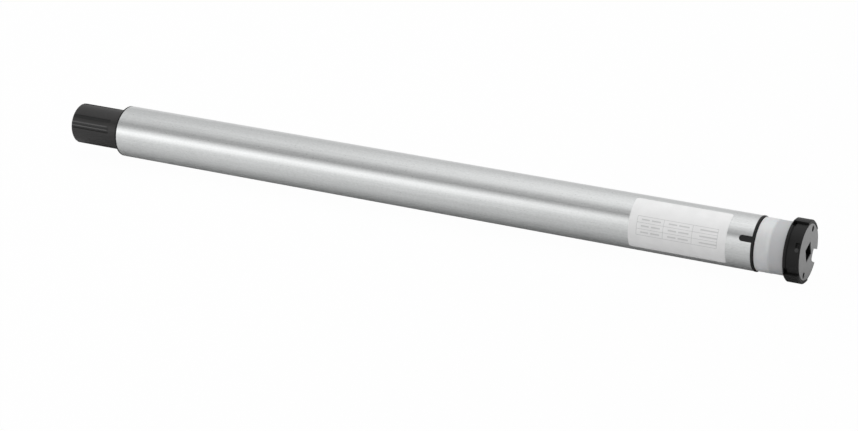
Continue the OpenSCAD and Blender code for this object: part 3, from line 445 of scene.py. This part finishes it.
def label_film():
    """White film, printed with a thin table and plain bars."""
    f = Finish("label_film", Coat_Weight=0.15, Coat_Roughness=0.25)
    x, _, _ = f.axes()
    along = (LABEL_FRONT - x) / MM
    down = (LABEL_TOP - f.turn_angle()) * (TUBE_RADIUS / MM)
    ink = printed_table(along, down)
    fibres = f.noise(0.25 * MM, 4)
    shade = f.noise(9 * MM, 2)
    film = f.mix(f.ramp(shade * 0.6 + fibres * 0.4, 0.35, 0.65), grey(0.86), grey(0.91))
    return f.shade(
        Base_Color=f.mix(ink * (0.4 + fibres * 0.3), film, grey(0.3)),
        Roughness=0.38 + fibres * 0.1,
        Normal=f.relief(fibres - ink * 0.3, 0.008 * MM, 0.4))


def printed_table(along, down):
    """Ink of the table's lines and of the plain bars in its rows, from 0 to 1."""
    left, right = TABLE_COLUMNS[0], TABLE_COLUMNS[-1]
    top, bottom = TABLE_ROWS[0], TABLE_ROWS[-1]
    inside_along = along.near((left + right) / 2, (right - left) / 2)
    inside_down = down.near((top + bottom) / 2, (bottom - top) / 2)
    lines = [down.near(place, LINE_HALF) * inside_along for place in TABLE_ROWS]
    lines += [along.near(place, LINE_HALF) * inside_down for place in TABLE_COLUMNS]
    rows = any_of([down.near((upper + lower) / 2, BAR_HALF)
                   for upper, lower in zip(TABLE_ROWS, TABLE_ROWS[1:])])
    bars = [along.near(place, half) * rows * BAR_INK for place, half in BARS]
    return any_of(lines + bars)


# Finishes inside the tube

def pale_moulding(name, colour):
    """Satin engineering plastic with faint flow marks."""
    f = Finish(name)
    flow = f.noise(3 * MM, 3)
    grain = f.noise(0.25 * MM, 2)
    return f.shade(
        Base_Color=f.mix(f.ramp(flow, 0.3, 0.7), scaled(colour, 0.9), colour),
        Roughness=0.36 + grain * 0.14,
        Normal=f.relief(grain, 0.01 * MM, 0.4))


def sintered_steel():
    """Pressed and sintered steel: grey, slightly porous."""
    f = Finish("sintered_steel", Metallic=1.0)
    pores = f.cells(0.16 * MM)
    clouds = f.noise(2.5 * MM, 3)
    return f.shade(
        Base_Color=f.mix(f.ramp(clouds, 0.3, 0.7), grey(0.36), grey(0.5)),
        Roughness=0.34 + clouds * 0.2,
        Normal=f.relief(f.ramp(pores, 0.0, 0.35), 0.012 * MM, 0.6))


def turned_steel(name, colour, roughness):
    """Ground or zinc-plated steel with fine turning marks round the axis."""
    f = Finish(name, Metallic=1.0)
    marks = f.noise(0.12 * MM, 2, (1, 0.05, 0.05))
    clouds = f.noise(2 * MM, 3)
    return f.shade(
        Base_Color=f.mix(f.ramp(clouds, 0.3, 0.7), scaled(colour, 0.86), colour),
        Roughness=roughness + marks * 0.12,
        Normal=f.relief(marks, 0.004 * MM, 0.5))


def laminations(name, colour):
    """Stacked sheet steel with a line between each two sheets."""
    f = Finish(name, Metallic=0.9)
    x, _, _ = f.axes()
    sheets = (x / SHEET_PITCH).maths("FRACT")
    seam = 1 - f.ramp(sheets.maths("PINGPONG", 0.5), 0.0, 0.12)
    clouds = f.noise(3 * MM, 3)
    return f.shade(
        Base_Color=f.mix(seam * 0.7, f.mix(f.ramp(clouds, 0.3, 0.7), scaled(colour, 0.8), colour),
                         grey(0.05)),
        Roughness=0.36 + clouds * 0.16 + seam * 0.2,
        Normal=f.relief(1 - seam, 0.03 * MM, 0.7))


def enamelled_wire():
    """Wound copper wire under a brown enamel, its turns side by side."""
    f = Finish("enamelled_copper", Metallic=0.85, Coat_Weight=0.4, Coat_Roughness=0.15)
    strands = f.noise(0.45 * MM, 1, (0.06, 1, 1))
    clouds = f.noise(4 * MM, 3)
    return f.shade(
        Base_Color=f.mix(f.ramp(strands * 0.6 + clouds * 0.4, 0.35, 0.65), (0.2, 0.055, 0.018),
                         (0.56, 0.2, 0.07)),
        Roughness=0.28 + strands * 0.15,
        Normal=f.relief(f.ramp(strands, 0.3, 0.7), 0.12 * MM, 0.8))


def cast_alloy():
    """Die-cast aluminium with a slightly rough skin."""
    f = Finish("cast_alloy", Metallic=0.9)
    skin = f.noise(0.4 * MM, 4)
    flow = f.noise(8 * MM, 2)
    return f.shade(
        Base_Color=f.mix(f.ramp(flow * 0.6 + skin * 0.4, 0.35, 0.65), grey(0.5), grey(0.64)),
        Roughness=0.36 + skin * 0.2,
        Normal=f.relief(skin, 0.03 * MM, 0.5))


def bronze():
    """Porous bush bronze."""
    f = Finish("bush_bronze", Metallic=1.0)
    pores = f.cells(0.2 * MM)
    clouds = f.noise(1.5 * MM, 3)
    return f.shade(
        Base_Color=f.mix(f.ramp(clouds, 0.3, 0.7), (0.44, 0.27, 0.1), (0.62, 0.42, 0.18)),
        Roughness=0.3 + clouds * 0.18,
        Normal=f.relief(f.ramp(pores, 0.0, 0.3), 0.01 * MM, 0.5))


def ferrite():
    """Dark moulded magnet, finely grained."""
    f = Finish("magnet_ferrite", Metallic=0.25)
    grain = f.cells(0.2 * MM)
    return f.shade(
        Base_Color=f.mix(grain, grey(0.03), grey(0.075)),
        Roughness=0.5 + grain * 0.2,
        Normal=f.relief(grain, 0.02 * MM, 0.6))


def circuit_board():
    """Green solder mask over etched tracks, with tinned pads on a grid."""
    f = Finish("solder_mask", Coat_Weight=0.5, Coat_Roughness=0.2)
    x, y, _ = f.axes()
    tracks = f.cells(3.2 * MM, (1, 1, 0.001), "DISTANCE_TO_EDGE")
    track = 1 - f.ramp(tracks, 0.05, 0.08)
    pad_x = (x / PAD_PITCH).maths("FRACT").near(0.5, 0.13)
    pad_y = (y / PAD_PITCH).maths("FRACT").near(0.5, 0.13)
    bare = f.noise(9 * MM, 1).maths("GREATER_THAN", 0.52)
    pads = pad_x * pad_y * bare
    mask = f.mix(track, (0.012, 0.1, 0.035), (0.03, 0.17, 0.055))
    return f.shade(
        Base_Color=f.mix(pads, mask, (0.62, 0.62, 0.58)),
        Metallic=pads * 0.9,
        Roughness=0.34 + f.noise(1 * MM) * 0.1,
        Normal=f.relief(track * 0.6 + pads, 0.03 * MM, 0.5))


def shrunk_sleeve(name, colour):
    """Glossy sleeve shrunk over a can, slightly wavy."""
    f = Finish(name, Coat_Weight=0.4, Coat_Roughness=0.1)
    waves = f.noise(2.5 * MM, 2)
    return f.shade(
        Base_Color=f.mix(f.ramp(waves, 0.3, 0.7), scaled(colour, 0.85), colour),
        Roughness=0.22 + waves * 0.1,
        Normal=f.relief(waves, 0.05 * MM, 0.4))


def coloured_wires(name, turn, width, jackets):
    """Insulated wires side by side in a row, which lies at this turn from +Z towards +Y."""
    f = Finish(name)
    _, y, z = f.axes()
    place = (y * math.sin(turn) + z * math.cos(turn)) / width + 0.5
    jacket = f.node("ShaderNodeValToRGB", {"stops": jackets, "blend": "CONSTANT"}, {0: place})
    mottle = f.noise(1.2 * MM, 3, (0.3, 1, 1))
    return f.shade(
        Base_Color=f.mix(f.ramp(mottle, 0.4, 0.8) * 0.3, jacket, grey(0.35)),
        Roughness=0.36 + mottle * 0.14,
        Normal=f.relief(mottle, 0.02 * MM, 0.4))


def friction_lining():
    """Pressed fibre lining of the brake's disc."""
    f = Finish("friction_lining")
    fibres = f.cells(0.5 * MM, (1, 1, 2.5))
    flecks = f.noise(0.35 * MM, 3)
    return f.shade(
        Base_Color=f.mix(f.ramp(fibres * 0.5 + flecks * 0.5, 0.3, 0.65), (0.1, 0.075, 0.05),
                         (0.3, 0.23, 0.15)),
        Roughness=0.75 + flecks * 0.15,
        Normal=f.relief(fibres, 0.06 * MM, 0.7))


def seal_rubber():
    """Dull black rubber."""
    f = Finish("seal_rubber")
    skin = f.noise(0.3 * MM, 3)
    return f.shade(
        Base_Color=f.mix(skin, grey(0.012), grey(0.03)),
        Roughness=0.55 + skin * 0.15,
        Normal=f.relief(skin, 0.015 * MM, 0.5))


def finish_parts():
    """Gives every carried-over part its finish."""
    plated = turned_steel("zinc_plate", (0.66, 0.67, 0.68), 0.26)
    sintered = sintered_steel()
    acetal = pale_moulding("gear_acetal", (0.76, 0.74, 0.68))
    cream = pale_moulding("connector_nylon", (0.7, 0.66, 0.54))
    tray = black_moulding("dark_nylon", grey(0.035), 0.42, 0.35)
    inlet = coloured_wires("inlet_jackets", HEAD_TURN, 6.8 * MM, SUPPLY_JACKETS)
    leads = coloured_wires("lead_jackets", math.pi / 2, 6 * MM, PHASE_JACKETS)
    finishes = {
        drawn_tube(): ["motor_tube"],
        cast_plate(): ["face_plate"],
        flange_moulding(): ["head_flange"],
        black_moulding("black_polyamide", grey(0.005), 0.4, 0.35): ["head_core", "end_cap"],
        spigot_moulding(): ["drive_spigot"],
        pale_ring(): ["crown_ring"],
        plated: ["head_screws", "tube_screws", "shaft_clip", "spigot_screw", "brake_spring"],
        turned_steel("ground_steel", grey(0.6), 0.16): ["rotor_shaft", "rotor_bearings"],
        sintered: ["main_ring_gear", "carrier_1", "carrier_2", "carrier_3", "planet_2a",
                   "planet_2b", "planet_2c", "planet_3a", "planet_3b", "planet_3c"],
        acetal: ["encoder_pinion", "input_ring_gear", "planet_1a", "planet_1b", "planet_1c"],
        cream: ["inlet_socket", "lead_header", "lead_plug", "edge_connector"],
        bronze(): ["inlet_pins", "output_bush", "shaft_bush"],
        ferrite(): ["encoder_magnet"],
        circuit_board(): ["sensor_board", "control_board"],
        tray: ["board_carrier", "capacitor_cradle"],
        pale_moulding("relay_blue", (0.06, 0.16, 0.42)): ["relays"],
        shrunk_sleeve("can_sleeve", (0.03, 0.035, 0.09)): ["board_capacitors"],
        pale_moulding("chip_epoxy", grey(0.03)): ["board_chips"],
        inlet: ["inlet_wires"],
        leads: ["board_wires", "motor_wires"],
        pale_moulding("capacitor_case", (0.78, 0.79, 0.78)): ["run_capacitor"],
        cast_alloy(): ["rear_end_bell", "front_end_bell", "rotor_cage", "brake_housing"],
        laminations("stator_sheets", grey(0.42)): ["stator_core", "rotor_core"],
        turned_steel("brake_steel", grey(0.45), 0.3): ["brake_yoke", "brake_plate"],
        enamelled_wire(): ["stator_windings", "brake_coil"],
        friction_lining(): ["brake_disc"],
        seal_rubber(): ["output_seal"],
    }
    for material, names in finishes.items():
        for name in names:
            part = parts[name]
            if not part.material_slots:
                part.data.materials.append(material)
            for slot in part.material_slots:
                slot.material = material


def mesh_object(name, shape, material):
    """Turns a finished bmesh into an object of the scene."""
    mesh = bpy.data.meshes.new(name)
    shape.to_mesh(mesh)
    shape.free()
    mesh.materials.append(material)
    made = bpy.data.objects.new(name, mesh)
    bpy.context.scene.collection.objects.link(made)
    return made


def new_piece(name, shape, material, body):
    """A new piece of the motor, which rides on a body and carries the given finish."""
    piece = mesh_object(name, shape, material)
    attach(piece, body)
    return piece


def smooth_below(shape, degrees):
    """Smooth faces, with a sharp edge wherever two of them meet at more than this angle."""
    for face in shape.faces:
        face.smooth = True
    for edge in shape.edges:
        angle = edge.calc_face_angle(0)
        edge.smooth = len(edge.link_faces) == 2 and angle < math.radians(degrees)


def rating_label():
    """A thin film with rounded corners, laid flat, cut across and wrapped round the tube."""
    radius = TUBE_RADIUS + LABEL_GAP
    width = LABEL_WRAP * radius
    film = bmesh.new()
    bmesh.ops.create_grid(film, x_segments=1, y_segments=1, size=0.5)
    bmesh.ops.scale(film, vec=(LABEL_LENGTH, width, 1), verts=film.verts)
    bmesh.ops.bevel(film, geom=film.verts[:], affect="VERTICES", offset=LABEL_CORNER,
                    segments=5, profile=0.5, material=-1)
    for k in range(1, LABEL_CUTS):
        place = width * (k / LABEL_CUTS - 0.5)
        bmesh.ops.bisect_plane(film, geom=film.verts[:] + film.edges[:] + film.faces[:],
                               plane_co=(0, place, 0), plane_no=(0, 1, 0))
    walls = bmesh.ops.extrude_face_region(film, geom=film.faces[:])
    raised = [item for item in walls["geom"] if isinstance(item, bmesh.types.BMVert)]
    bmesh.ops.translate(film, vec=(0, 0, LABEL_THICKNESS), verts=raised)
    middle = LABEL_FRONT - LABEL_LENGTH / 2
    for vert in film.verts:
        angle = LABEL_TOP - LABEL_WRAP / 2 + vert.co.y / radius
        reach = radius + vert.co.z
        vert.co = (middle + vert.co.x, reach * math.sin(angle), reach * math.cos(angle))
    bmesh.ops.recalc_face_normals(film, faces=film.faces)
    smooth_below(film, 30)
    return new_piece("rating_label", film, label_film(), "root")


def sprung_coil():
    """The brake's spring as a piece of its own, in place of the hidden original."""
    solid = parts["brake_spring"]
    low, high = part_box("brake_spring")
    release = next(joint for joint in frame["joints"] if joint["name"] == "brake_release")
    stroke = release["range_m"][1]
    coil = bmesh.new()
    coil.from_mesh(solid.data)
    bmesh.ops.remove_doubles(coil, verts=coil.verts, dist=0.001 * MM)
    smooth_below(coil, 50)
    spring = new_piece("sprung_coil", coil, solid.material_slots[0].material, "root")
    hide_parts("brake_spring")
    1 - stroke / (high.x - low.x)
    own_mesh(spring)


def studio_paper():
    """Pale paper, close to white to the camera and, away from the motor, in mirrors. Towards the
    head its tone is darker, and near the motor its white in mirrors fades out: painted shade for
    the metal to mirror.
    """
    f = Finish("studio_paper", Roughness=0.9, Specular_IOR_Level=0.1)
    x, y, _ = f.axes()
    head = f.ramp(x, FLOOR_CHANGES_FROM, TUBE_HIGH.x)
    # Painted shade: the paper is darker towards the motor's head
    paper = f.shade(Base_Color=f.mix(head, FLOOR_FAR, FLOOR_AT_HEAD))
    seen = f.node("ShaderNodeLightPath", out="Is Camera Ray")
    mirrored = f.node("ShaderNodeLightPath", out="Is Glossy Ray")
    # Painted shade in mirrors: the white that the metal mirrors fades out near the motor
    away = f.ramp(y.maths("ABSOLUTE"), 0, SHADE_REACH)
    white_level = WHITE_IN_METAL + head * (WHITE_AT_HEAD - WHITE_IN_METAL)
    share = seen * WHITE_TO_CAMERA + mirrored * away * white_level
    white = f.node("ShaderNodeEmission", None, {"Color": grey(1.0), "Strength": 1.0})
    mixed = f.node("ShaderNodeMixShader", None,
                   {0: share, 1: Value(f, f.shader.outputs[0]), 2: white})
    f.feed(f.tree.nodes["Material Output"].inputs["Surface"], mixed)
    return paper


def studio_floor():
    """A pale floor just under the motor, which shows its soft shadow."""
    sheet = bmesh.new()
    bmesh.ops.create_grid(sheet, x_segments=1, y_segments=1, size=FLOOR_HALF)
    bmesh.ops.translate(sheet, vec=(MIDDLE.x, 0, MOTOR_LOW.z - FLOOR_GAP), verts=sheet.verts)
    mesh_object("studio_floor", sheet, studio_paper())


def studio_world():
    """White to the camera. The motor sees soft bands that run along its length."""
    world = bpy.data.worlds.new("studio")
    bpy.context.scene.world = world
    world.use_nodes = True
    w = Sheet(world.node_tree)
    seen = w.node("ShaderNodeLightPath", out="Is Camera Ray")
    through = w.node("ShaderNodeLightPath", out="Is Transmission Ray")
    point = w.node("ShaderNodeTexCoord", out="Generated")
    side, ahead, up = (w.node("ShaderNodeSeparateXYZ", None, {0: point}, out) for out in "XYZ")
    over = up.maths("ARCTAN2", ahead * -1) / math.pi
    levels = []
    for level in (1, 2, 3):
        stops = [(band[0] / 180, grey(band[level] / BAND_STRENGTH)) for band in LIGHT_BANDS]
        settings = {"stops": stops, "blend": "B_SPLINE"}
        levels.append(w.node("ShaderNodeValToRGB", settings, {0: over}))
    far, middle, head = levels
    bands = w.mix(w.ramp(side, FAR_SIDE, MIDDLE_SIDE), far, middle)
    bands = w.mix(w.ramp(side, MIDDLE_SIDE, HEAD_SIDE), bands, head)
    shown = seen.either(through)
    backdrop = world.node_tree.nodes["Background"]
    w.feed(backdrop.inputs["Color"], w.mix(shown, bands, grey(1.0)))
    w.feed(backdrop.inputs["Strength"], shown + (1 - shown) * BAND_STRENGTH)


def soft_lamp(name, place, length, width, watts):
    """A soft box that looks at the motor's middle with its length along the motor."""
    lamp = bpy.data.lights.new(name, "AREA")
    lamp.shape = "RECTANGLE"
    lamp.size, lamp.size_y = length, width
    lamp.energy = watts
    box = bpy.data.objects.new(name, lamp)
    bpy.context.scene.collection.objects.link(box)
    box.location = place
    aim = Vector((MIDDLE.x, 0, 0)) - Vector(place)
    box.rotation_euler = aim.to_track_quat("-Z", "Y").to_euler()
    box.visible_camera = box.visible_glossy = False


def studio_lamps():
    """One soft box above the motor and a weaker one in front of it."""
    soft_lamp("overhead_box", (MIDDLE.x, 0.12, 1.3), 2.4, 1.1, OVERHEAD_WATTS)
    soft_lamp("front_box", (MIDDLE.x, -2.1, 0.72), 3.2, 0.55, FRONT_WATTS)


def studio_camera():
    """The photograph's view: from the front, a little above and towards the head."""
    lens = bpy.data.cameras.new("studio_camera")
    lens.sensor_width = SENSOR
    lens.lens = FOCAL_PIXELS * SENSOR / PICTURE_WIDTH
    lens.clip_start, lens.clip_end = 0.05, 30
    camera = bpy.data.objects.new("studio_camera", lens)
    bpy.context.scene.collection.objects.link(camera)
    back = Vector((math.sin(CAMERA_AZIMUTH) * math.cos(CAMERA_ELEVATION),
                   -math.cos(CAMERA_AZIMUTH) * math.cos(CAMERA_ELEVATION),
                   math.sin(CAMERA_ELEVATION)))
    camera.location = CAMERA_TARGET + back * CAMERA_DISTANCE
    camera.rotation_euler = (-back).to_track_quat("-Z", "Y").to_euler()
    bpy.context.scene.camera = camera


studio_camera()
studio_world()
studio_lamps()
studio_floor()
finish_parts()
rating_label()
sprung_coil()
bpy.context.scene.view_settings.view_transform = "Standard"
